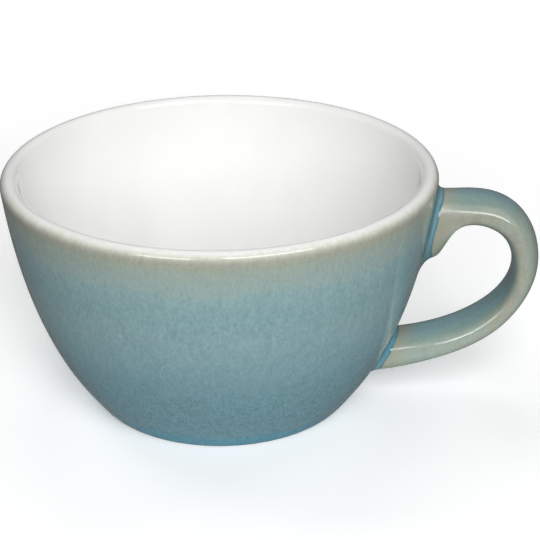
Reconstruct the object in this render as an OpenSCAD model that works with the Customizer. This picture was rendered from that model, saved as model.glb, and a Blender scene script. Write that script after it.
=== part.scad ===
// Small coffee cup: a thrown porcelain bowl with a separately cast ear handle,
// luted on with slip, lined with white glaze and coated outside with a
// coloured glaze that pools blue where the handle meets the wall.
// Millimetres. The origin is the centre of the foot on the table, +Z up the
// axis of the bowl, and the handle points along +X.

/* [Bowl] */
// Outer radius of the finished cup at the rim
rim_r = 45; // [44:0.5:46]
// Overall height from the table to the top of the lip
cup_h = 51.2; // [50.6:0.2:53]
// Outer radius where the wall turns into the base
base_r = 26.4; // [25.8:0.2:27.4]
// Wall thickness at the lip, glaze included
lip_t = 3.7; // [3.5:0.1:4.1]
// Height of the inside floor above the table
floor_z = 6; // [5.6:0.1:6.6]

/* [Foot] */
// Width of the ground flat that the cup stands on
foot_w = 3.4; // [2.6:0.1:4.2]
// Depth of the hollow inside the foot ring
recess_d = 1.8; // [1.4:0.1:2.2]

/* [Handle] */
// Width of the handle where it meets the wall
handle_w = 10.4; // [9.8:0.1:11]
// Width of the handle at the middle of its path
handle_mid_w = 12.4; // [11.6:0.1:13.2]
// Squareness of the handle section, where 2 is an ellipse
handle_sq = 2.4; // [2.2:0.1:3]
// Length of handle that the slip layer fills, as a share of its path
slip_share = 0.008; // [0.006:0.001:0.01]

/* [Glaze] */
// Thickness of every glaze coat
glaze_t = 0.35; // [0.25:0.05:0.45]
// How far the white lining turns down over the outside of the lip
lip_turn = 1.6; // [1.2:0.1:1.8]
// Height above the table where the coloured coat stops
coat_low = 0.4; // [0.3:0.05:0.6]
// Width of the pooled glaze round each end of the handle
seam_w = 1.2; // [1:0.1:1.4]

/* [Hidden] */
$fn = 96;

// ---- curves -------------------------------------------------------------

function bez3(P, t) = pow(1 - t, 3) * P[0] + 3 * pow(1 - t, 2) * t * P[1]
    + 3 * (1 - t) * t * t * P[2] + t * t * t * P[3];
function bez2(P, t) = pow(1 - t, 2) * P[0] + 2 * (1 - t) * t * P[1] + t * t * P[2];

// clamped cubic spline over a short list of control points
function knot(i, n) = max(0, min(n - 3, i - 3));
function basis(i, k, x, n) = k == 0
    ? ((x >= knot(i, n) && x < knot(i + 1, n)) ? 1 : 0)
    : let (a = knot(i + k, n) - knot(i, n), b = knot(i + k + 1, n) - knot(i + 1, n))
      (a > 0 ? (x - knot(i, n)) / a * basis(i, k - 1, x, n) : 0)
      + (b > 0 ? (knot(i + k + 1, n) - x) / b * basis(i + 1, k - 1, x, n) : 0);
function spline(P, u) = u >= 1 ? P[len(P) - 1]
    : let (n = len(P), x = max(0, u) * (n - 3)) [for (i = [0:n - 1]) basis(i, 3, x, n)] * P;

function rev(L) = [for (i = [len(L) - 1:-1:0]) L[i]];
function unit(v) = v / norm(v);
function left(v) = [-v[1], v[0]];

// moves a polyline d to the left of its direction, point by point
function shifted(L, d) = [for (i = [0:len(L) - 1])
    let (a = L[max(0, i - 1)], b = L[min(len(L) - 1, i + 1)], n = left(unit(b - a)),
         p = L[i] + d * n)
    L[i][0] < 0.001 ? [0, L[i][1] + d * sign(n[1])] : p];

// ---- finished profile of the bowl ---------------------------------------

lip_out = 2;                 // radius of the lip's outer quarter round
lip_in = lip_t - lip_out;    // radius of its inner quarter round

wall_curve = [[base_r, 0], [base_r + 11.5, 12], [rim_r - 2, 31.5], [rim_r, cup_h - lip_out]];
inside_curve = [[0, floor_z], [13, floor_z], [24.5, floor_z + 0.5], [32.5, 14.5],
                [38, 31.5], [rim_r - lip_t, cup_h - lip_in]];

// parameter of the wall curve at a height, by halving
function wall_t_at(z, a = 0, b = 1, n = 24) = n == 0 ? (a + b) / 2
    : let (m = (a + b) / 2) bez3(wall_curve, m)[1] < z ? wall_t_at(z, m, b, n - 1) : wall_t_at(z, a, m, n - 1);

inside_line = [for (i = [0:20]) spline(inside_curve, i / 20)];
turn_a = acos((lip_out - lip_turn) / lip_out);   // where the lining ends on the lip
lip_line = concat(
    [for (a = [160:-20:100]) [rim_r - lip_out + lip_in * cos(a), cup_h - lip_in + lip_in * sin(a)]],
    [[rim_r - lip_out, cup_h]],
    [for (i = [1:4]) let (a = 90 - turn_a * i / 4) [rim_r - lip_out + lip_out * cos(a), cup_h - lip_out + lip_out * sin(a)]]);
below_turn = [for (i = [1:1]) let (a = (90 - turn_a) / 2) [rim_r - lip_out + lip_out * cos(a), cup_h - lip_out + lip_out * sin(a)]];
t_low = wall_t_at(coat_low);
wall_line = [for (i = [24:-1:0]) bez3(wall_curve, t_low + (1 - t_low) * i / 24)];

// from the middle of the floor, up the inside, over the lip and down the wall
skin = concat(inside_line, lip_line, below_turn, wall_line);
split = len(inside_line) + len(lip_line) - 1;    // last point of the lining
bare = shifted(skin, -glaze_t);                  // the clay under the glaze

lining_top = [for (i = [0:split]) skin[i]];
lining_back = [for (i = [0:split]) bare[i]];
coat_top = [for (i = [split:len(skin) - 1]) skin[i]];
coat_back = [for (i = [split:len(skin) - 1]) bare[i]];

wall_end = skin[len(skin) - 1];
foot_out = base_r - 0.8;
foot_in = foot_out - foot_w;
edge_line = [for (i = [0:4]) bez2([wall_end, [base_r, 0], [foot_out, 0]], i / 4)];
hollow = [[foot_in, 0], [foot_in - 0.15, coat_low], [foot_in - 0.45, recess_d - 0.45],
          [foot_in - 0.9, recess_d - 0.1], [foot_in - 1.6, recess_d], [0, recess_d]];
hollow_top = [for (i = [1:5]) hollow[i]];
hollow_back = shifted(hollow_top, -glaze_t);

// radius of the bare clay wall and of the finished wall at a height
bare_tab = [for (p = coat_back) [p[1], p[0]]];
skin_tab = [for (p = coat_top) [p[1], p[0]]];
function bare_r(z) = lookup(z, bare_tab);
function skin_r(z) = lookup(z, skin_tab);

// ---- handle -------------------------------------------------------------

// control points of the handle's outer and inner edges, in the plane y = 0
edge_out = [[44, 47], [47.75, 47], [49.5, 47.25], [57.5, 47], [64.25, 41.75],
            [67.25, 31.25], [62.25, 20.25], [51.5, 10.5], [33, 5.5], [31, 6]];
edge_in = [[42, 32.1], [46.2, 31.8], [45.5, 38.25], [51, 41.75], [58.75, 39.75],
           [61.25, 31.75], [59.25, 25], [52.5, 19], [43.25, 15.5], [35.5, 14.5]];

// table of length along an edge against its parameter
steps = 120;
function run(P, i = 0, l = 0, last = [0, 0]) = i > steps ? []
    : let (p = spline(P, i / steps), d = i == 0 ? 0 : norm(p - last))
      concat([[l + d, i / steps]], run(P, i + 1, l + d, p));
tab_out = run(edge_out);
tab_in = run(edge_in);
len_out = tab_out[steps][0];
len_in = tab_in[steps][0];

// half width at a share of the path, then the section there: middle, half height, direction, half width
function half_w(s) = (handle_w + (handle_mid_w - handle_w) * pow(sin(180 * s), 2)) / 2;
function frame_at(s) = let (o = spline(edge_out, lookup(s * len_out, tab_out)),
                            i = spline(edge_in, lookup(s * len_in, tab_in)))
    [(o + i) / 2, norm(o - i) / 2, unit(o - i), half_w(s)];
first = frame_at(0);
last = frame_at(1);

sides = 32;
function sx(a) = sign(cos(a)) * pow(abs(cos(a)), 2 / handle_sq);
function sy(a) = sign(sin(a)) * pow(abs(sin(a)), 2 / handle_sq);
function section(F, a, f, inset) = let (p = F[0] + F[2] * (F[1] - inset) * sy(a) * f)
    [p[0], (F[3] - inset) * sx(a) * f, p[1]];
// how far a point of an end section is from the bare wall, along x
function reach(F, a, f, inset) = let (p = section(F, a, f, inset))
    sqrt(pow(bare_r(p[2]) + 0.01, 2) - p[1] * p[1]) - p[0];

blend = 0.12;   // share of the path over which the ends take up the wall's curve
function ring(s, f, inset) = let (F = frame_at(s),
        w0 = pow(max(0, 1 - s / blend), 2), w1 = pow(max(0, 1 - (1 - s) / blend), 2))
    [for (k = [0:sides - 1]) let (a = 360 * k / sides, p = section(F, a, f, inset))
        [p[0] + (w0 > 0 ? w0 * reach(first, a, f, inset) : 0)
              + (w1 > 0 ? w1 * reach(last, a, f, inset) : 0), p[1], p[2]]];

// outline round a handle end on the wall, seam_w outside the bare handle
function outline(F) = [for (k = [0:sides - 1]) let (a = 360 * k / sides)
    [(F[3] - glaze_t + seam_w) * sx(a),
     F[0][1] + ((F[1] - glaze_t) * F[2][1] + seam_w * sign(F[2][1])) * sy(a)]];
function on_wall(q, finished) = let (r = (finished ? skin_r(q[1]) : bare_r(q[1])) + 0.01)
    [sqrt(r * r - q[0] * q[0]), q[0], q[1]];

slip_0 = slip_share;
slip_1 = 1 - slip_share;
pool_0 = 2.2 * slip_share;
pool_1 = 1 - 2.2 * slip_share;
count = 40;
path = [for (i = [0:count]) pool_0 + (pool_1 - pool_0) * i / count];

// ---- solids from rings --------------------------------------------------

// a bundle of rings closed at both ends by a point
module spindle(rings, a, b) {
    n = len(rings[0]);
    m = len(rings);
    pts = concat([for (r = rings) each r], [a, b]);
    polyhedron(pts, concat(
        [for (j = [0:m - 2], k = [0:n - 1]) let (q = (k + 1) % n)
            each [[j * n + k, (j + 1) * n + q, j * n + q], [j * n + k, (j + 1) * n + k, (j + 1) * n + q]]],
        [for (k = [0:n - 1]) [m * n, k, (k + 1) % n]],
        [for (k = [0:n - 1]) [m * n + 1, (m - 1) * n + (k + 1) % n, (m - 1) * n + k]]));
}

// a bundle of rings whose last ring joins the first
module hoop(rings) {
    n = len(rings[0]);
    m = len(rings);
    polyhedron([for (r = rings) each r],
        [for (j = [0:m - 1], k = [0:n - 1]) let (q = (k + 1) % n, g = (j + 1) % m)
            each [[j * n + k, g * n + q, j * n + q], [j * n + k, g * n + k, g * n + q]]]);
}

function cap_in(s) = [for (f = [0.35, 0.7]) ring(s, f, glaze_t)];

module slip(from, to) {
    spindle(concat(cap_in(from), [ring(from, 1, glaze_t), ring(to, 1, glaze_t)], rev(cap_in(to))),
            ring(from, 0, glaze_t)[0], ring(to, 0, glaze_t)[0]);
}

function mid(A, B, f) = [for (k = [0:len(A) - 1]) A[k] * (1 - f) + B[k] * f];

// pooled glaze in the corner between the wall and one end of the handle
module seam(F, on, slip_end, pool) {
    foot_ring = outline(F);
    low = [for (q = foot_ring) on_wall(q, false)];
    top = [for (q = foot_ring) on_wall(q, true)];
    coat = ring(pool, 1, 0);
    core = ring(pool, 1, glaze_t);
    heel = ring(on, 1, glaze_t);
    pull = mid(mid(top, coat, 0.5), heel, 0.16);
    rings = [heel, low, top, pull, coat, core, ring(slip_end, 1, glaze_t)];
    hoop(on == 0 ? rings : rev(rings));
}

// opening in the outer coat where a handle end meets the clay
module coat_window(F) {
    rotate([90, 0, 90]) translate([0, 0, 20]) linear_extrude(40) polygon(outline(F));
}

// ---- pieces -------------------------------------------------------------

module cup_body() {
    color("ivory") rotate_extrude() polygon(concat(bare, edge_line, [hollow[0], hollow[1]], hollow_back));
}

module handle() {
    color("ivory")
    spindle(concat(cap_in(slip_0), [ring(slip_0, 1, glaze_t)], [for (s = path) ring(s, 1, glaze_t)],
                   [ring(slip_1, 1, glaze_t)], rev(cap_in(slip_1))),
            ring(slip_0, 0, glaze_t)[0], ring(slip_1, 0, glaze_t)[0]);
}

module upper_slip_joint() { color("wheat") slip(0, slip_0); }
module lower_slip_joint() { color("wheat") slip(slip_1, 1); }

module liner_glaze() {
    color("white") rotate_extrude() polygon(concat(lining_top, rev(lining_back)));
}

module outer_glaze() {
    color([0.47, 0.62, 0.65]) difference() {
        rotate_extrude() polygon(concat(coat_top, rev(coat_back)));
        coat_window(first);
        coat_window(last);
    }
}

module handle_glaze() {
    color([0.58, 0.66, 0.62])
    hoop(concat([for (s = path) ring(s, 1, 0)], [for (s = rev(path)) ring(s, 1, glaze_t - 0.015)]));
}

module upper_seam_glaze() { color([0.18, 0.47, 0.66]) seam(first, 0, slip_0, pool_0); }
module lower_seam_glaze() { color([0.18, 0.47, 0.66]) seam(last, 1, slip_1, pool_1); }

module base_glaze() {
    color("white") rotate_extrude() polygon(concat(hollow_top, rev(hollow_back)));
}

cup_body();
handle();
upper_slip_joint();
lower_slip_joint();
liner_glaze();
outer_glaze();
handle_glaze();
upper_seam_glaze();
lower_seam_glaze();
base_glaze();
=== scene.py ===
# A small coffee cup: white glazed inside, reactive blue-green glaze outside, cast ear handle.
# The shapes are worked out in millimetres in the part's own frame: the origin is the centre of
# the foot on the table, +Z is up and the handle points along +X.
import math

import bmesh
import bpy
import numpy as np
from mathutils import Matrix, Vector


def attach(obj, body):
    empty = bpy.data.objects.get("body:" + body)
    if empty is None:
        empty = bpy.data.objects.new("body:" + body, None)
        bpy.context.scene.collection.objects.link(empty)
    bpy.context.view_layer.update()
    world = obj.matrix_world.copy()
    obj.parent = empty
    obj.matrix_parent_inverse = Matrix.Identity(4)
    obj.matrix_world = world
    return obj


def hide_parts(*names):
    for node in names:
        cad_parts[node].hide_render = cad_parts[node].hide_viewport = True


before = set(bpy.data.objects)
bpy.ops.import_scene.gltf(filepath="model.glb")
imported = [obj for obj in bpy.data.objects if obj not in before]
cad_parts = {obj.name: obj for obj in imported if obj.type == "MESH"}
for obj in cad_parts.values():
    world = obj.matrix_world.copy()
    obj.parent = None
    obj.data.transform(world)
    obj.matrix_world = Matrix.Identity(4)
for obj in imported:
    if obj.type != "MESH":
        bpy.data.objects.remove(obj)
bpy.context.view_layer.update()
MM = 0.001
scene = bpy.context.scene

# ---- sizes of the cup ----------------------------------------------------------------------

RIM_R, CUP_H = 45.0, 51.2
GLAZE = 0.35
WALL = [[26.4, 0], [37.9, 12], [43, 31.5], [45, 49.2]]
INSIDE = [[0, 6], [13, 6], [24.5, 6.5], [32.5, 14.5], [38, 31.5], [41.3, 49.5]]
BORDER_Z = 49.6
EDGE_OUT = [[44, 47], [47.75, 47], [49.5, 47.25], [57.5, 47], [64.25, 41.75],
            [67.25, 31.25], [62.25, 20.25], [51.5, 10.5], [33, 5.5], [31, 6]]
EDGE_IN = [[42, 32.1], [46.2, 31.8], [45.5, 38.25], [51, 41.75], [58.75, 39.75],
           [61.25, 31.75], [59.25, 25], [52.5, 19], [43.25, 15.5], [35.5, 14.5]]
HANDLE_W, HANDLE_MID_W, HANDLE_SQ = 10.4, 12.4, 2.4
FOOT_OUT, FOOT_IN, RECESS = 25.6, 22.2, 1.8
SEGS = 384

# ---- curves --------------------------------------------------------------------------------


def bez3(P, t):
    P, t = np.asarray(P, float), np.asarray(t, float)[:, None]
    return (1 - t) ** 3 * P[0] + 3 * (1 - t) ** 2 * t * P[1] + 3 * (1 - t) * t * t * P[2] + t ** 3 * P[3]


def spline(P, u):
    """Clamped cubic spline over a short list of control points."""
    P = np.asarray(P, float)
    n = len(P)
    kn = np.clip(np.arange(n + 4) - 3, 0, n - 3).astype(float)
    x = np.minimum(np.clip(np.asarray(u, float), 0, 1) * (n - 3), n - 3 - 1e-9)
    B = ((x[:, None] >= kn[None, :-1]) & (x[:, None] < kn[None, 1:])).astype(float)
    for k in (1, 2, 3):
        C = np.zeros((len(x), n + 3 - k))
        for i in range(n + 3 - k):
            a, b = kn[i + k] - kn[i], kn[i + k + 1] - kn[i + 1]
            if a > 0:
                C[:, i] += (x - kn[i]) / a * B[:, i]
            if b > 0:
                C[:, i] += (kn[i + k + 1] - x) / b * B[:, i + 1]
        B = C
    return B @ P


def lengths(L):
    return np.r_[0, np.cumsum(np.linalg.norm(np.diff(L, axis=0), axis=1))]


def resample(L, step):
    """Points about every step along a polyline, ends kept."""
    s = lengths(L)
    q = np.linspace(0, s[-1], max(2, int(round(s[-1] / step)) + 1))
    return np.stack([np.interp(q, s, L[:, k]) for k in range(L.shape[1])], 1)


def tangents(L):
    t = np.gradient(L, axis=0)
    return t / np.linalg.norm(t, axis=1)[:, None]


def left(L):
    t = tangents(L)
    return np.stack([-t[:, 1], t[:, 0]], 1)


def smooth01(x):
    x = np.clip(x, 0, 1)
    return x * x * (3 - 2 * x)


def wave(a, seed, n, fall):
    """A smooth closed ripple of the angle a, within -1 to 1."""
    rng = np.random.default_rng(seed)
    k = np.arange(1, n + 1)
    amp = rng.uniform(0.5, 1, n) / k ** fall
    out = (amp * np.cos(np.multiply.outer(a, k) + rng.uniform(0, 2 * np.pi, n))).sum(-1)
    return out / np.abs(out).max()


def arc(c, rho, a0, a1, n=120):
    a = np.linspace(a0, a1, n)
    return np.stack([c[0] + rho * np.cos(a), c[1] + rho * np.sin(a)], 1)


# ---- profile of the bowl -------------------------------------------------------------------

wall = bez3(WALL, np.linspace(0, 1, 4001))
inside = spline(INSIDE, np.linspace(0, 1, 4001))
inside = np.vstack([inside, inside[-1] + tangents(inside)[-1] * np.linspace(0.005, 1.5, 300)[:, None]])


def crest(curve, N, want, outer):
    """Where a wall line leaves for the lip's round, with the round's middle, radius and angle."""
    rho = (CUP_H - curve[:, 1]) / (1 - N[:, 1])
    C = curve - rho[:, None] * N
    miss = C[:, 0] + rho - want if outer else C[:, 0] - want
    k = np.arange(int(len(curve) * 0.8), len(curve) - 2)
    i = k[np.argmin(np.abs(miss[k]))]
    return i, C[i], rho[i], math.atan2(N[i, 1], N[i, 0])


i_out, c_out, rho_out, a_out = crest(wall, -left(wall), RIM_R, True)
i_in, c_in, rho_in, a_in = crest(inside, left(inside), c_out[0], False)
a_border = math.asin((BORDER_Z - c_out[1]) / rho_out)

# every profile runs clockwise round its solid: out along the inside, over the lip, down the wall
L_in = np.vstack([resample(inside[:i_in + 1], 0.8), resample(arc(c_in, rho_in, a_in, math.pi / 2), 0.11)[1:],
                  resample(arc(c_out, rho_out, math.pi / 2, a_border), 0.11)[1:]])
wall_run = np.vstack([arc(c_out, rho_out, a_border, a_out, 60), wall[:i_out][::-1]])
wall_run = wall_run[wall_run[:, 1] > 0.42]
L_out = np.vstack([resample(wall_run[wall_run[:, 1] > 46.5], 0.14),
                   resample(wall_run[wall_run[:, 1] <= 46.5], 0.5)])
N_in, N_out = left(L_in), left(L_out)
N_in[0] = (0, 1)


def wall_r(z):
    return np.interp(z, wall[:, 1], wall[:, 0])


bare = wall + GLAZE * left(wall)


def bare_r(z):
    return np.interp(z, bare[:, 1], bare[:, 0])


# ---- mesh helpers --------------------------------------------------------------------------


def make(name, verts, faces, normals=None):
    me = bpy.data.meshes.new(name)
    me.from_pydata((np.asarray(verts, float) * MM).tolist(), [], faces)
    me.update()
    me.polygons.foreach_set("use_smooth", [True] * len(me.polygons))
    if normals is not None:
        me.normals_split_custom_set(normals)
    ob = bpy.data.objects.new(name, me)
    scene.collection.objects.link(ob)
    return ob


def outward(ob):
    bm = bmesh.new()
    bm.from_mesh(ob.data)
    bmesh.ops.recalc_face_normals(bm, faces=bm.faces)
    bm.to_mesh(ob.data)
    bm.free()


def attribute(ob, name, values):
    ob.data.attributes.new(name, "FLOAT", "POINT").data.foreach_set("value", np.asarray(values, np.float32))


def lathe(name, runs, segs=SEGS, warp=None, holes=()):
    """Turns a closed profile round the axis. runs are (points, normals), each smooth in itself and
    meeting the next at a corner; a point at r = 0 is a pole. holes are cells (row, column) of run 0
    left open right through to run 2, which is its back, row for row."""
    th = 2 * np.pi * np.arange(segs) / segs
    co, si = np.cos(th), np.sin(th)
    verts, rings, last = [], [], None
    for P, N in runs:
        ring = []
        for p in P:
            if last is not None and np.hypot(*(last[0] - p)) < 1e-5:
                ring.append(last[1])
                continue
            if p[0] < 1e-6:
                ids = [len(verts)] * segs
                verts.append((0.0, 0.0, p[1]))
            else:
                ids = list(range(len(verts), len(verts) + segs))
                r, z = warp(th, p[0], p[1]) if warp else (np.full(segs, p[0]), np.full(segs, p[1]))
                verts += list(zip(r * co, r * si, z))
            last = (p, ids)
            ring.append(ids)
        rings.append(ring)
    if np.hypot(*(runs[-1][0][-1] - runs[0][0][0])) < 1e-5:
        rings[-1][-1] = rings[0][0]
    used = np.zeros(len(verts), bool)
    faces, normals = [], []

    def put(ids, ns):
        keep = [k for k in range(len(ids)) if ids[k] != ids[k - 1]]
        if len(keep) > 2:
            faces.append([ids[k] for k in keep])
            normals.extend(ns[k] for k in keep)

    n0 = len(runs[0][0])
    for q, (P, N) in enumerate(runs):
        for i in range(len(P) - 1):
            a, b = N[i], N[i + 1]
            for j in range(segs):
                if holes and ((q == 0 and (i, j) in holes) or (q == 2 and (n0 - 2 - i, j) in holes)):
                    continue
                k = (j + 1) % segs
                put([rings[q][i][j], rings[q][i + 1][j], rings[q][i + 1][k], rings[q][i][k]],
                    [(a[0] * co[j], a[0] * si[j], a[1]), (b[0] * co[j], b[0] * si[j], b[1]),
                     (b[0] * co[k], b[0] * si[k], b[1]), (a[0] * co[k], a[0] * si[k], a[1])])
    for i, j in sorted(holes):
        k = (j + 1) % segs
        edges = {(-1, 0): ((i, k), (i, j)), (1, 0): ((i + 1, j), (i + 1, k)),
                 (0, -1): ((i, j), (i + 1, j)), (0, 1): ((i + 1, k), (i, k))}
        for (di, dj), (s, e) in edges.items():
            if (i + di, (j + dj) % segs) in holes:
                continue
            ids = [rings[0][e[0]][e[1]], rings[0][s[0]][s[1]], rings[2][n0 - 1 - s[0]][s[1]], rings[2][n0 - 1 - e[0]][e[1]]]
            p = [Vector(verts[v]) for v in ids]
            n = (p[1] - p[0]).cross(p[2] - p[0]).normalized()
            put(ids, [tuple(n)] * 4)
    used[[v for f in faces for v in f]] = True
    new = np.cumsum(used) - 1
    verts = np.array(verts)[used]
    return make(name, verts, [[int(new[v]) for v in f] for f in faces], normals), verts


def corner(a, b, n):
    return np.array([a, b]), np.array([n, n])


def hoop(name, rings):
    """A closed skin over rings of points whose last ring joins the first."""
    m, n = len(rings), len(rings[0])
    faces = [[j * n + k, j * n + (k + 1) % n, ((j + 1) % m) * n + (k + 1) % n, ((j + 1) % m) * n + k]
             for j in range(m) for k in range(n)]
    ob = make(name, np.vstack(rings), faces)
    outward(ob)
    return ob


# ---- handle curves -------------------------------------------------------------------------

dense_o = spline(EDGE_OUT, np.linspace(0, 1, 2401))
dense_i = spline(EDGE_IN, np.linspace(0, 1, 2401))
len_o, len_i = lengths(dense_o), lengths(dense_i)
PATH = 0.5 * (len_o[-1] + len_i[-1])


def frame_at(s):
    o = np.array([np.interp(s * len_o[-1], len_o, dense_o[:, k]) for k in (0, 1)])
    i = np.array([np.interp(s * len_i[-1], len_i, dense_i[:, k]) for k in (0, 1)])
    half = (HANDLE_W + (HANDLE_MID_W - HANDLE_W) * math.sin(math.pi * s) ** 2) / 2
    return (o + i) / 2, np.linalg.norm(o - i) / 2, (o - i) / np.linalg.norm(o - i), half


FIRST, LAST = frame_at(0.0), frame_at(1.0)


def superellipse(hw, hh, n):
    """n points spaced evenly round a section of half width hw and half height hh."""
    a = np.linspace(0, 2 * np.pi, 2881)
    c, s = np.cos(a), np.sin(a)
    p = np.stack([hw * np.sign(c) * np.abs(c) ** (2 / HANDLE_SQ), hh * np.sign(s) * np.abs(s) ** (2 / HANDLE_SQ)], 1)
    l = lengths(p)
    q = np.linspace(0, l[-1], n + 1)[:-1]
    return np.stack([np.interp(q, l, p[:, 0]), np.interp(q, l, p[:, 1])], 1)


def section(F, inset, n):
    w = superellipse(F[3] - inset, F[1] - inset, n)
    return np.stack([F[0][0] + F[2][0] * w[:, 1], w[:, 0], F[0][1] + F[2][1] * w[:, 1]], 1), w


def reach(F, inset, n):
    p = section(F, inset, n)[0]
    return np.sqrt((bare_r(p[:, 2]) + 0.01) ** 2 - p[:, 1] ** 2) - p[:, 0]


def handle_ring(s, inset=0.0, n=80):
    """A section of the handle at a share of its path; the ends take up the wall's curve."""
    p = section(frame_at(s), inset, n)[0]
    w0, w1 = max(0, 1 - s / 0.12) ** 2, max(0, 1 - (1 - s) / 0.12) ** 2
    if w0 > 0:
        p[:, 0] += w0 * reach(FIRST, inset, n)
    if w1 > 0:
        p[:, 0] += w1 * reach(LAST, inset, n)
    return p


def end_size(F, grow):
    return F[3] + grow, F[1] * abs(F[2][1]) + grow


def end_distance(F, y, z):
    """About how far outside the outline of a handle end a point of the wall is."""
    hw, hh = end_size(F, 0)
    u, v = np.abs(y) / hw, np.abs(z - F[0][1]) / hh
    f = (u ** HANDLE_SQ + v ** HANDLE_SQ) ** (1 / HANDLE_SQ)
    return (f - 1) * np.hypot(y, z - F[0][1]) / np.maximum(f, 1e-6)


# ---- pieces --------------------------------------------------------------------------------

# white lining: floor, inside wall, lip and the turn down the outside
B_in = L_in - GLAZE * N_in
lining, _ = lathe("white_lining", [(L_in, N_in), corner(L_in[-1], B_in[-1], tangents(L_in)[-1]), (B_in[::-1], -N_in[::-1])])

# coloured coat: from the lining's edge down the wall to a rounded roll just above the table
swell = 0.16 * smooth01((4.2 - L_out[:, 1]) / 3.2)
P_out = L_out + swell[:, None] * N_out
B_out = L_out - GLAZE * N_out
mid_end, rad_end = (P_out[-1] + B_out[-1]) / 2, np.linalg.norm(P_out[-1] - B_out[-1]) / 2
a_end = math.atan2(*(P_out[-1] - mid_end)[::-1])
roll = arc(mid_end, rad_end, a_end, a_end - math.pi, 13)
th = 2 * np.pi * np.arange(SEGS) / SEGS
ripple = 0.05 * wave(th, 5, 30, 0.3)


def uneven(t, r, z):
    w = float(smooth01((3.0 - z) / 2.6)) * (1.0 if r > bare_r(z) + 0.1 else 0.0)
    return r + w * ripple, z + 0.3 * w * ripple


holes = set()
for i in range(len(L_out) - 1):
    r, z = (L_out[i] + L_out[i + 1]) / 2
    y = r * np.sin(th + np.pi / SEGS)
    d = np.minimum(end_distance(FIRST, y, z), end_distance(LAST, y, z))
    holes |= {(i, int(j)) for j in np.nonzero((d < 0.0) & (np.cos(th) > 0.9))[0]}
coat, v = lathe("glaze_coat", [(P_out, N_out), (roll, (roll - mid_end) / rad_end), (B_out[::-1], -N_out[::-1]),
                               corner(B_out[0], P_out[0], -tangents(L_out)[0])], warp=uneven, holes=holes)
# distance from each handle end, used below to paint shade on the wall next to the handle
near = np.minimum(end_distance(FIRST, v[:, 1], v[:, 2]), end_distance(LAST, v[:, 1], v[:, 2]))
attribute(coat, "near", np.where(v[:, 0] > 20, near, 50))

# clay body: bare under the glaze, with the ground foot ring
foot = np.array([[FOOT_OUT + 0.75, 0.62], [FOOT_OUT + 0.45, 0.2], [FOOT_OUT + 0.2, 0.05], [FOOT_OUT, 0.0]])
foot = spline(np.vstack([foot[0], foot, foot[-1]]), np.linspace(0, 1, 14))
flat = np.array([[FOOT_OUT, 0.0], [FOOT_IN, 0.0]])
recess = resample(spline([[FOOT_IN, 0], [FOOT_IN - 0.1, 0.5], [FOOT_IN - 0.25, 1.5], [FOOT_IN - 0.9, RECESS],
                          [FOOT_IN - 2.4, RECESS], [8, RECESS + 0.1], [0, RECESS + 0.1]], np.linspace(0, 1, 900)), 0.25)
up = recess[recess[:, 1] < 0.42]
hollow = recess[recess[:, 1] >= 0.42]
N_hol = left(hollow)
N_hol[-1] = (0, -1)
B_hol = hollow - GLAZE * N_hol
lip_bare = np.vstack([B_in, B_out[B_out[:, 1] > 0.62]])
body_runs = [(lip_bare, left(lip_bare)), corner(lip_bare[-1], foot[0], (0, -1)), (foot, left(foot)), corner(flat[0], flat[1], (0, -1)),
             (up, left(up)), corner(up[-1], B_hol[0], (0, -1)), (B_hol, N_hol)]
clay, _ = lathe("clay_body", body_runs)
base, _ = lathe("base_coat", [(hollow, N_hol), (B_hol[::-1], -N_hol[::-1]), corner(B_hol[0], hollow[0], (0, -1))])

# handle coat: a loft over the handle's sections
RING = 80
s_end = 0.75 / PATH
path = np.unique(np.r_[np.linspace(s_end, 0.1, 36), np.linspace(0.1, 0.9, 150), np.linspace(0.9, 1 - s_end, 36)])
outer = [handle_ring(s, 0, RING) for s in path]
inner = [handle_ring(s, GLAZE - 0.02, RING) for s in path]
handle = hoop("handle_coat", outer + inner[::-1])
across, rise, bend = [], [], []
for s in path:
    F = frame_at(s)
    w = section(F, 0, RING)[1]
    across.append(w[:, 0] / F[3])
    rise.append(w[:, 1] / F[1])
    bend.append(np.arctan2(np.abs(rise[-1]), np.abs(across[-1])) * 2 / np.pi)
flip = lambda rows: np.concatenate(rows + rows[::-1])
attribute(handle, "across", flip(across))
attribute(handle, "rise", flip(rise))
attribute(handle, "bend", flip(bend))
attribute(handle, "along", flip([np.full(RING, s) for s in path]))
attribute(handle, "from_end", flip([np.full(RING, min(s, 1 - s) * PATH) for s in path]))


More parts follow.
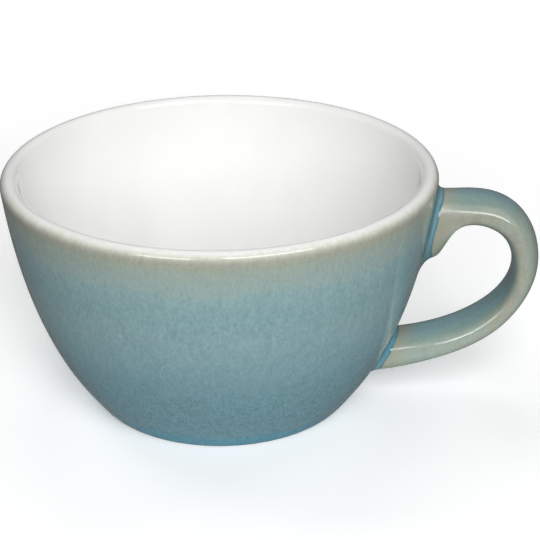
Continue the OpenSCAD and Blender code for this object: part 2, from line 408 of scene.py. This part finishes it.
# pooled glaze in the corner round each end of the handle; under the upper end it runs down in a tail
def pool(name, F, end, seed, tail, wide, skirt):
    n = 160
    a = 2 * np.pi * np.arange(n) / n
    hw, hh = end_size(F, 0)
    rim = superellipse(hw, hh, n)
    if F[2][1] < 0:
        rim[:, 1] *= -1
    under = smooth01((-rim[:, 1] / hh - 0.45) / 0.55)
    over = smooth01((rim[:, 1] / hh - 0.45) / 0.55)
    grow = skirt + 0.12 * wave(a, seed, 9, 0.6) + tail * under + 0.5 * over
    climb = wide + 0.18 * wave(a, seed + 1, 9, 0.6) + 0.35 * tail * under + 0.05 * over
    at = lambda mm: mm / PATH if end == 0 else 1 - mm / PATH

    def on_wall(g, sink):
        w = rim * (1 + g / np.linalg.norm(rim, axis=1))[:, None]
        y, z = w[:, 0], F[0][1] + w[:, 1]
        r = wall_r(z) - sink
        return np.stack([np.sqrt(r * r - y * y), y, z], 1)

    heads = np.array([handle_ring(at(m), 0, n) for m in np.arange(0.2, 3.9, 0.4)])

    def on_handle(mm, sink=0.0):
        x = np.clip((mm - 0.2) / 0.4, 0, len(heads) - 1.001)
        i = x.astype(int)
        f = (x - i)[:, None]
        k = np.arange(n)
        p = heads[i, k] * (1 - f) + heads[i + 1, k] * f
        if sink:
            c = p.mean(0)
            q = p - c
            p = c + q * (1 - sink / np.linalg.norm(q, axis=1))[:, None]
        return p

    foot_ring, head = on_wall(grow, -0.004), on_handle(climb)
    knee = on_wall(np.full(n, 0.05), 0.0)
    rows, w = [on_wall(grow + 0.9, 0.14), on_wall(grow + 0.25, 0.025)], [-grow, -grow]
    for t in np.linspace(0, 1, 17):
        rows.append((1 - t) ** 2 * foot_ring + 2 * (1 - t) * t * (0.8 * knee + 0.1 * foot_ring + 0.1 * head) + t * t * head)
        w.append(t * t * climb - (1 - t) ** 2 * grow)
    rows += [on_handle(climb + 0.2, 0.05), on_handle(climb, 0.3), on_handle(np.full(n, 0.25), 0.3), on_wall(np.full(n, 0.0), 0.3)]
    w += [climb + 0.2, climb, 0 * a, 0 * a]
    ob = hoop(name, rows)
    attribute(ob, "w", np.concatenate(w) / np.where(np.concatenate(w) > 0, wide / 1.7, 1.0))
    attribute(ob, "left_over", np.concatenate([climb - v for v in w]))
    return ob


pool_up = pool("upper_pool", FIRST, 0, 21, 3.0, 1.7, 0.85)
pool_low = pool("lower_pool", LAST, 1, 33, 0.3, 2.3, 1.3)

# ---- materials -----------------------------------------------------------------------------


def c(r, g, b):
    """A colour given as screen values, for the shader."""
    f = lambda v: v / 12.92 if v <= 0.04045 else ((v + 0.055) / 1.055) ** 2.4
    return (f(r / 255), f(g / 255), f(b / 255), 1.0)


class Mat:
    def __init__(self, name):
        self.mat = bpy.data.materials.new(name)
        self.mat.use_nodes = True
        self.tree = self.mat.node_tree
        self.tree.nodes.clear()
        out = self.add("ShaderNodeOutputMaterial")
        self.bsdf = self.add("ShaderNodeBsdfPrincipled")
        self.tree.links.new(self.bsdf.outputs[0], out.inputs[0])
        mm = self.add("ShaderNodeVectorMath", operation="SCALE")
        mm.inputs["Scale"].default_value = 1000
        self.tree.links.new(self.add("ShaderNodeTexCoord").outputs["Object"], mm.inputs[0])
        self.pos = mm.outputs[0]
        sep = self.add("ShaderNodeSeparateXYZ")
        self.tree.links.new(self.pos, sep.inputs[0])
        self.x, self.y, self.z = sep.outputs

    def add(self, kind, **props):
        n = self.tree.nodes.new(kind)
        for k, v in props.items():
            setattr(n, k, v)
        return n

    def feed(self, socket, value):
        if isinstance(value, bpy.types.NodeSocket):
            self.tree.links.new(value, socket)
        else:
            socket.default_value = value

    def m(self, op, a, b=0.0, c=0.0, clamp=False):
        n = self.add("ShaderNodeMath", operation=op, use_clamp=clamp)
        for s, v in zip(n.inputs, (a, b, c)):
            self.feed(s, v)
        return n.outputs[0]

    def step(self, v, a, b, lo=0.0, hi=1.0):
        n = self.add("ShaderNodeMapRange", interpolation_type="SMOOTHSTEP")
        for s, x in zip(n.inputs, (v, a, b, lo, hi)):
            self.feed(s, x)
        return n.outputs[0]

    def mix(self, f, a, b, how="MIX"):
        n = self.add("ShaderNodeMix", data_type="RGBA", blend_type=how)
        self.feed(n.inputs[0], f)
        self.feed(n.inputs[6], a)
        self.feed(n.inputs[7], b)
        return n.outputs[2]

    def scale(self, colour, f):
        n = self.add("ShaderNodeVectorMath", operation="SCALE")
        self.feed(n.inputs[0], colour)
        self.feed(n.inputs["Scale"], f)
        return n.outputs[0]

    def ramp(self, f, stops, how="LINEAR"):
        n = self.add("ShaderNodeValToRGB")
        n.color_ramp.interpolation = how
        e = n.color_ramp.elements
        while len(e) > 1:
            e.remove(e[0])
        e[0].position, e[0].color = stops[0]
        for p, col in stops[1:]:
            e.new(p).color = col
        self.feed(n.inputs[0], f)
        return n.outputs[0]

    def noise(self, stretch, scale, detail=2.0, rough=0.5, shift=0.0):
        v = self.add("ShaderNodeVectorMath", operation="MULTIPLY_ADD")
        self.tree.links.new(self.pos, v.inputs[0])
        v.inputs[1].default_value = stretch
        v.inputs[2].default_value = (shift, shift * 1.7, shift * 0.6)
        n = self.add("ShaderNodeTexNoise")
        self.tree.links.new(v.outputs[0], n.inputs["Vector"])
        n.inputs["Scale"].default_value = scale
        n.inputs["Detail"].default_value = detail
        n.inputs["Roughness"].default_value = rough
        return n.outputs["Fac"]

    def off(self, v, gain):
        """Noise less its middle, times a gain."""
        return self.m("MULTIPLY", self.m("SUBTRACT", v, 0.5), gain)

    def attr(self, name):
        return self.add("ShaderNodeAttribute", attribute_name=name).outputs["Fac"]

    def bump(self, parts):
        """Bump from (height, depth in mm) pairs."""
        normal = None
        for h, d in parts:
            n = self.add("ShaderNodeBump")
            n.inputs["Strength"].default_value = 1.0
            n.inputs["Distance"].default_value = d * MM
            self.tree.links.new(h, n.inputs["Height"])
            if normal is not None:
                self.tree.links.new(normal, n.inputs["Normal"])
            normal = n.outputs[0]
        self.tree.links.new(normal, self.bsdf.inputs["Normal"])

    def set(self, **kw):
        for k, v in kw.items():
            self.feed(self.bsdf.inputs[k.replace("_", " ")], v)


def put_on(ob, mat):
    ob.data.materials.clear()
    ob.data.materials.append(mat.mat)


WHITE = c(239, 240, 239)


def lip_colour(g, z, streak, fine):
    """The break from white through cream to tan and celadon down the outside of the lip."""
    h = g.m("ADD", z, g.m("ADD", g.off(streak, 0.7), g.off(fine, 0.5)))
    t = g.m("DIVIDE", g.m("SUBTRACT", h, 44.0), 7.4, clamp=True)
    return g.ramp(t, [(0.0, c(148, 167, 164)), (0.44, c(154, 168, 158)), (0.57, c(158, 165, 152)), (0.69, c(164, 167, 153)),
                      (0.76, c(170, 172, 159)), (0.825, c(189, 192, 178)), (0.89, c(215, 217, 206)), (0.94, c(230, 231, 226)),
                      (0.97, WHITE)])


def coloured_glaze(name):
    g = Mat(name)
    cloud = g.noise((1, 1, 0.6), 0.055, 2, 0.5, 3.0)
    runs = g.noise((1, 1, 0.14), 0.42, 2, 0.5, 11.0)
    streak = g.noise((1, 1, 0.35), 0.85, 3, 0.6, 5.0)
    fine = g.noise((1, 1, 0.5), 2.2, 2, 0.6, 7.0)
    return g, cloud, runs, streak, fine


def mottle(g, body, streak, fine, specks, much, grain=1.0):
    """Grain of the fired glaze: soft upright flecks, paler and darker, with a few bluer ones."""
    body = g.scale(body, g.m("ADD", 1.0, g.m("MULTIPLY", grain, g.m("ADD", g.off(fine, 0.32), g.off(streak, 0.22)))))
    dots = g.noise((1, 1, 0.45), 1.5, 1, 0.5, 23.0)
    return g.mix(g.m("MULTIPLY", g.step(dots, 0.5, 0.75), much), body, specks)


# outside wall
g, cloud, runs, streak, fine = coloured_glaze("blue_glaze")
h = g.m("ADD", g.z, g.m("ADD", g.off(cloud, 5.0), g.off(runs, 3.0)))
body = g.ramp(g.m("DIVIDE", h, 51.2, clamp=True),
              [(0.04, c(97, 139, 152)), (0.10, c(103, 136, 145)), (0.16, c(99, 131, 141)), (0.27, c(100, 133, 141)), (0.36, c(106, 138, 146)),
               (0.47, c(117, 148, 154)), (0.6, c(129, 157, 161)), (0.72, c(128, 159, 162)), (0.8, c(137, 165, 168)), (0.87, c(149, 170, 165))])
body = g.mix(g.step(g.m("ADD", g.z, g.off(runs, 4.0)), 41.5, 45.5), body, lip_colour(g, g.z, streak, fine))
edge = g.m("ADD", g.z, g.m("ADD", g.off(runs, 1.6), g.off(streak, 0.6)))
body = g.mix(g.step(edge, 3.8, 2.7), body, c(88, 141, 159))
body = g.mix(g.step(g.z, 0.8, 0.35), body, c(66, 116, 138))
grain = g.m("ADD", g.step(g.z, 46, 34, 1.0, 1.6), g.step(g.z, 22, 8, 0.0, 1.0))
body = mottle(g, body, streak, fine, c(100, 140, 150), g.step(g.z, 46, 40, 0, 0.34), grain)
# painted shade: within about 6 mm of each handle end the wall is painted darker, for the handle's shadow and its dark
# reflection
near = g.m("ADD", g.attr("near"), g.off(streak, 0.8))
body = g.mix(g.step(near, 6.5, 1.2, 0, 0.85), body, c(82, 112, 116))
g.set(Base_Color=body, Roughness=g.step(fine, 0.3, 0.8, 0.05, 0.09))
g.bump([(cloud, 0.05), (streak, 0.003), (fine, 0.0008)])
blue = g
put_on(coat, blue)

# white lining and lip
g, cloud, runs, streak, fine = coloured_glaze("white_glaze")
r = g.m("SQRT", g.m("ADD", g.m("MULTIPLY", g.x, g.x), g.m("MULTIPLY", g.y, g.y)))
white = g.mix(g.step(cloud, 0.35, 0.7, 0, 1), c(237, 238, 236), c(241, 241, 238))
white = g.mix(g.step(r, 43.4, 43.9), white, lip_colour(g, g.z, streak, fine))
g.set(Base_Color=white, Roughness=g.step(runs, 0.3, 0.7, 0.05, 0.09))
g.bump([(cloud, 0.05), (streak, 0.002)])
white_mat = g
put_on(lining, white_mat)

# handle: thick and blue on the broad faces, thin and cream where it breaks over the edges; some faces also carry
# painted light and shade
g, cloud, runs, streak, fine = coloured_glaze("celadon_glaze")
along = g.attr("along")
blotch = g.noise((1, 1, 1), 0.3, 2, 0.5, 41.0)
q = g.m("ADD", g.attr("bend"), g.m("ADD", g.off(blotch, 0.3), g.off(fine, 0.1)))
body = g.ramp(q, [(0.0, c(153, 154, 140)), (0.24, c(152, 154, 141)), (0.36, c(140, 148, 136)), (0.5, c(127, 145, 137)),
                  (0.66, c(121, 144, 141)), (0.84, c(114, 142, 146)), (0.97, c(118, 139, 145))])
lower = g.ramp(q, [(0.0, c(150, 163, 153)), (0.3, c(146, 159, 149)), (0.5, c(131, 153, 145)), (0.68, c(122, 150, 146)),
                   (0.84, c(112, 146, 151)), (1.0, c(120, 157, 165))])
body = g.mix(g.step(g.m("ADD", along, g.off(blotch, 0.3)), 0.55, 0.8), body, lower)
# painted light: the outer face of the loop is painted paler, standing in for light and reflection that fall on it
outer = g.m("MULTIPLY", g.step(g.attr("rise"), -0.1, 0.45), g.m("MULTIPLY", g.step(along, 0.17, 0.3), g.step(along, 0.72, 0.56)))
body = g.mix(g.m("MULTIPLY", outer, 0.7), body, c(154, 164, 152))
# painted shade: the inner face of the upper arm, which faces down, is painted dark olive
inner = g.step(g.attr("rise"), -0.05, -0.55)
body = g.mix(g.m("MULTIPLY", inner, g.step(along, 0.42, 0.3, 0, 0.8)), body, c(100, 113, 104))
# painted light: the upward inner face of the lower arm is painted a lighter blue, for light from above falling on it
facing = g.m("MULTIPLY", g.step(g.attr("rise"), -0.7, -0.98), g.step(along, 0.36, 0.46, 0, 0.7))
body = g.mix(facing, body, c(136, 166, 171))
pale = g.m("MULTIPLY", g.step(blotch, 0.5, 0.68), g.step(q, 0.5, 0.2, 0, 0.35))
body = g.mix(pale, body, c(146, 163, 153))
body = mottle(g, body, streak, fine, c(118, 144, 144), 0.12)
ends = g.m("SUBTRACT", g.attr("from_end"), g.m("ADD", g.off(blotch, 3.0), g.step(along, 0.5, 0.9, 0, 1.5)))
body = g.mix(g.step(ends, 6.5, 0.5, 0, 0.9), body, c(152, 153, 137))
dull = g.m("ADD", g.step(fine, 0.3, 0.8, 0.04, 0.08), g.step(along, 0.1, 0.06, 0, 0.18))
g.set(Base_Color=body, Roughness=dull)
g.bump([(cloud, 0.05), (streak, 0.003), (fine, 0.0008)])
celadon = g
put_on(handle, celadon)

# pooled glaze in the corners
g, cloud, runs, streak, fine = coloured_glaze("pooled_glaze")
w = g.m("ADD", g.attr("w"), g.off(streak, 0.7))
# painted shade: the dark teal stops where the pool runs onto the wall, before the bright blue core, stand for shade in
# the crease
body = g.ramp(g.m("DIVIDE", g.m("ADD", w, 4.0), 6.0, clamp=True),
              [(0.0, c(102, 128, 130)), (0.3, c(96, 124, 126)), (0.5, c(89, 118, 120)), (0.63, c(84, 114, 118)), (0.69, c(90, 128, 138)),
               (0.75, c(98, 146, 163)), (0.82, c(102, 148, 163)), (0.88, c(97, 126, 131)), (1.0, c(98, 121, 118))])
deep = g.m("MULTIPLY", g.step(g.z, 8.5, 11.5, 0, 0.6), g.step(g.z, 22, 20))
body = g.mix(g.m("MULTIPLY", deep, g.step(w, -0.5, 0.1)), body, c(70, 128, 150))
thin = g.m("MULTIPLY", g.step(g.z, 39, 33, 0, 0.85), g.step(g.z, 22, 24))
body = g.mix(thin, body, c(72, 106, 114))
fade = g.m("MULTIPLY", g.step(w, -0.5, -1.5), g.m("MULTIPLY", g.step(g.z, 37.5, 34.5, 0, 0.8), g.step(g.z, 22, 24)))
body = g.mix(fade, body, c(118, 128, 128))
slate = g.noise((1, 1, 1), 0.16, 1, 0.5, 17.0)
body = g.mix(g.step(slate, 0.42, 0.62, 0, 0.35), body, c(106, 138, 147))
rest = g.m("ADD", g.attr("left_over"), g.off(fine, 0.25))
body = g.mix(g.step(rest, 0.5, 0.3), body, c(98, 118, 112))
body = g.mix(g.step(rest, 0.16, 0.02), body, c(140, 144, 132))
body = g.scale(body, g.m("ADD", 1.0, g.off(fine, 0.4)))
g.set(Base_Color=body, Roughness=g.step(fine, 0.3, 0.8, 0.04, 0.07))
g.bump([(streak, 0.01)])
pooled = g
put_on(pool_up, pooled)
put_on(pool_low, pooled)

# bare porcelain of the foot ring, and the slip of the joints
g, cloud, runs, streak, fine = coloured_glaze("porcelain")
grit = g.noise((1, 1, 1), 6.0, 3, 0.7, 2.0)
body = g.mix(g.step(grit, 0.45, 0.75, 0, 1), c(226, 222, 212), c(208, 202, 190))
body = g.mix(g.step(runs, 0.55, 0.8, 0, 0.5), body, c(196, 190, 180))
g.set(Base_Color=body, Roughness=g.step(grit, 0.3, 0.7, 0.55, 0.75))
g.bump([(grit, 0.02), (fine, 0.02)])
porcelain = g
put_on(clay, porcelain)

g, cloud, runs, streak, fine = coloured_glaze("slip")
grit = g.noise((1, 1, 1), 4.0, 3, 0.7, 9.0)
g.set(Base_Color=g.mix(grit, c(214, 206, 190), c(196, 188, 172)), Roughness=g.step(grit, 0.3, 0.7, 0.6, 0.8))
g.bump([(grit, 0.03)])
slip = g

# glaze in the hollow of the base
g, cloud, runs, streak, fine = coloured_glaze("base_glaze")
body = g.mix(g.step(cloud, 0.3, 0.7, 0, 1), c(236, 236, 232), c(228, 230, 226))
body = g.mix(g.step(fine, 0.68, 0.8, 0, 0.5), body, c(196, 196, 188))
g.set(Base_Color=body, Roughness=g.step(runs, 0.3, 0.7, 0.1, 0.2))
g.bump([(cloud, 0.06), (streak, 0.004)])
put_on(base, g)

put_on(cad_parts["handle"], porcelain)
put_on(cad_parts["upper_slip_joint"], slip)
put_on(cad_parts["lower_slip_joint"], slip)

# ---- each piece goes on the root body, and the CAD node it replaces is hidden --------------

for piece, node, slot in ((lining, "liner_glaze", "white_glaze"), (coat, "outer_glaze", "blue_glaze"),
                          (handle, "handle_glaze", "celadon_glaze"), (pool_up, "upper_seam_glaze", "pooled_glaze"),
                          (pool_low, "lower_seam_glaze", "pooled_glaze"), (clay, "cup_body", "porcelain"),
                          (base, "base_glaze", "white_glaze")):
    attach(piece, "root")
    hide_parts(node)

# ---- floor, light and camera ---------------------------------------------------------------

g = Mat("floor")
speck = g.noise((1, 1, 1), 0.02, 3, 0.6)
away = g.m("SQRT", g.m("ADD", g.m("MULTIPLY", g.x, g.x), g.m("MULTIPLY", g.y, g.y)))
g.set(Base_Color=g.mix(speck, c(240, 240, 240), c(244, 244, 244)), Roughness=0.8, Emission_Color=(1, 1, 1, 1),
      Emission_Strength=g.step(away, 95, 260, 0.29, 0.45))


def ring_floor(name, radii):
    """A flat ring on the table, in rings of 96 points."""
    a = 2 * np.pi * np.arange(96) / 96
    v = np.vstack([np.stack([r * np.cos(a), r * np.sin(a), 0 * a - 0.04], 1) for r in radii])
    ob = make(name, v, [[k * 96 + j, k * 96 + (j + 1) % 96, (k + 1) * 96 + (j + 1) % 96, (k + 1) * 96 + j][::-1]
                        for k in range(len(radii) - 1) for j in range(96)])
    put_on(ob, g)
    ob.visible_glossy = False
    return ob


floor = ring_floor("floor", [0.5, 10, 20, 30, 45, 60, 75, 90, 105])
floor_far = ring_floor("floor_far", [105, 130, 170, 240, 400, 700, 1200, 2000, 3000])
floor_far.visible_diffuse = False

# the camera, from the outline of the rim, the base and the handle
turn, e, yaw, pitch, rolled, D, F_PX = (math.radians(7), math.radians(25.088), math.radians(1.692), math.radians(24.861),
                                        math.radians(-0.502), 380.0, 1794.4)
fw = np.array([math.sin(yaw) * math.cos(pitch), math.cos(yaw) * math.cos(pitch), -math.sin(pitch)])
rt = np.array([math.cos(yaw), -math.sin(yaw), 0])
upv = np.cross(rt, fw)
rt2, up2 = rt * math.cos(rolled) + upv * math.sin(rolled), upv * math.cos(rolled) - rt * math.sin(rolled)
spin = np.array([[math.cos(turn), -math.sin(turn), 0], [math.sin(turn), math.cos(turn), 0], [0, 0, 1]])
eye = spin @ np.array([0, -D * math.cos(e), D * math.sin(e)]) + np.array([0, 0, CUP_H / 2])
M = Matrix.Identity(4)
for k, v in enumerate((spin @ rt2, spin @ up2, -(spin @ fw), eye * MM)):
    for r in range(3):
        M[r][k] = v[r]
cam_data = bpy.data.cameras.new("camera")
cam_data.sensor_width = 36
cam_data.lens = F_PX * 36 / 540
cam_data.clip_start, cam_data.clip_end = 0.01, 20
cam = bpy.data.objects.new("camera", cam_data)
cam.matrix_world = M
scene.collection.objects.link(cam)
scene.camera = cam

front, right = spin @ np.array([0, -1, 0]), spin @ np.array([1, 0, 0])


def softbox(name, az, el, dist, w, hgt, power, tint=(1, 1, 1)):
    """A rectangular light aimed at the cup; azimuth from the camera's side, positive to the right."""
    a, b = math.radians(az), math.radians(el)
    p = (front * math.cos(a) + right * math.sin(a)) * math.cos(b) + np.array([0, 0, math.sin(b)])
    d = bpy.data.lights.new(name, "AREA")
    d.shape, d.size, d.size_y, d.energy, d.color = "RECTANGLE", w, hgt, power, tint
    o = bpy.data.objects.new(name, d)
    o.location = p * dist + np.array([0, 0, 0.03])
    o.rotation_euler = Vector(-p).to_track_quat("-Z", "Y").to_euler()
    scene.collection.objects.link(o)
    return o


# broad boxes shade the cup and are kept out of its gloss; the strips are only seen in the gloss
LIGHTS = [softbox("front_low", 8, 22, 1.0, 0.4, 0.4, 5.5),
          softbox("front_high", 8, 42, 1.0, 0.4, 0.4, 4.65),
          softbox("left_box", -28, 26, 1.0, 0.4, 0.4, 0.5),
          softbox("right_back", 120, 42, 1.0, 0.4, 0.4, 1.4),
          softbox("left_back", -120, 51, 1.0, 0.4, 0.4, 2.1),
          softbox("back_box", 180, 65, 1.0, 0.4, 0.4, 1.3)]
LIGHTS.append(softbox("back_fill", 180, 6, 1.0, 0.5, 0.16, 2.4))
for light in LIGHTS:
    light.visible_glossy = False


def only_on(light, pieces):
    """Lets a light fall on the named pieces alone."""
    on = bpy.data.collections.new(light.name)
    for piece in pieces:
        on.objects.link(piece)
    light.light_linking.receiver_collection = on


def strip(name, pieces, az, el, wide, tall, glow):
    """A strip light that shows as a highlight on the named pieces; sizes in degrees."""
    w, h = 2 * math.tan(math.radians(wide / 2)), 2 * math.tan(math.radians(tall / 2))
    o = softbox(name, az, el, 1.0, w, h, glow * math.pi * w * h)
    o.visible_diffuse = False
    only_on(o, pieces)
    LIGHTS.append(o)


only_on(LIGHTS[6], (coat, pool_up, pool_low))
strip("rim_left", (lining, coat), -30, 34, 27, 11, 9)
strip("rim_right", (lining, coat), 28, 48, 38, 9, 13)
strip("handle_high", (handle,), 8.5, 30, 55, 10, 8)
strip("handle_soft", (handle,), 25, 46, 70, 42, 1.7)
strip("handle_low", (handle,), -25, 5, 8, 9, 16)
strip("handle_bend", (handle,), -46, 11.5, 24, 10, 7.5)
strip("handle_faint", (handle, pool_low), -28, 18, 32, 9, 1.8)
strip("seam_spots", (pool_up, pool_low), 7, 13, 18, 14, 9)
world = bpy.data.worlds.new("studio")
scene.world = world
world.use_nodes = True
world.node_tree.nodes["Background"].inputs[0].default_value = (1, 1, 1, 1)
world.node_tree.nodes["Background"].inputs[1].default_value = 0.15
world.cycles_visibility.diffuse = False

scene.view_settings.view_transform = "Standard"
scene.view_settings.look = "None"
scene.view_settings.exposure = 0
scene.view_settings.gamma = 1
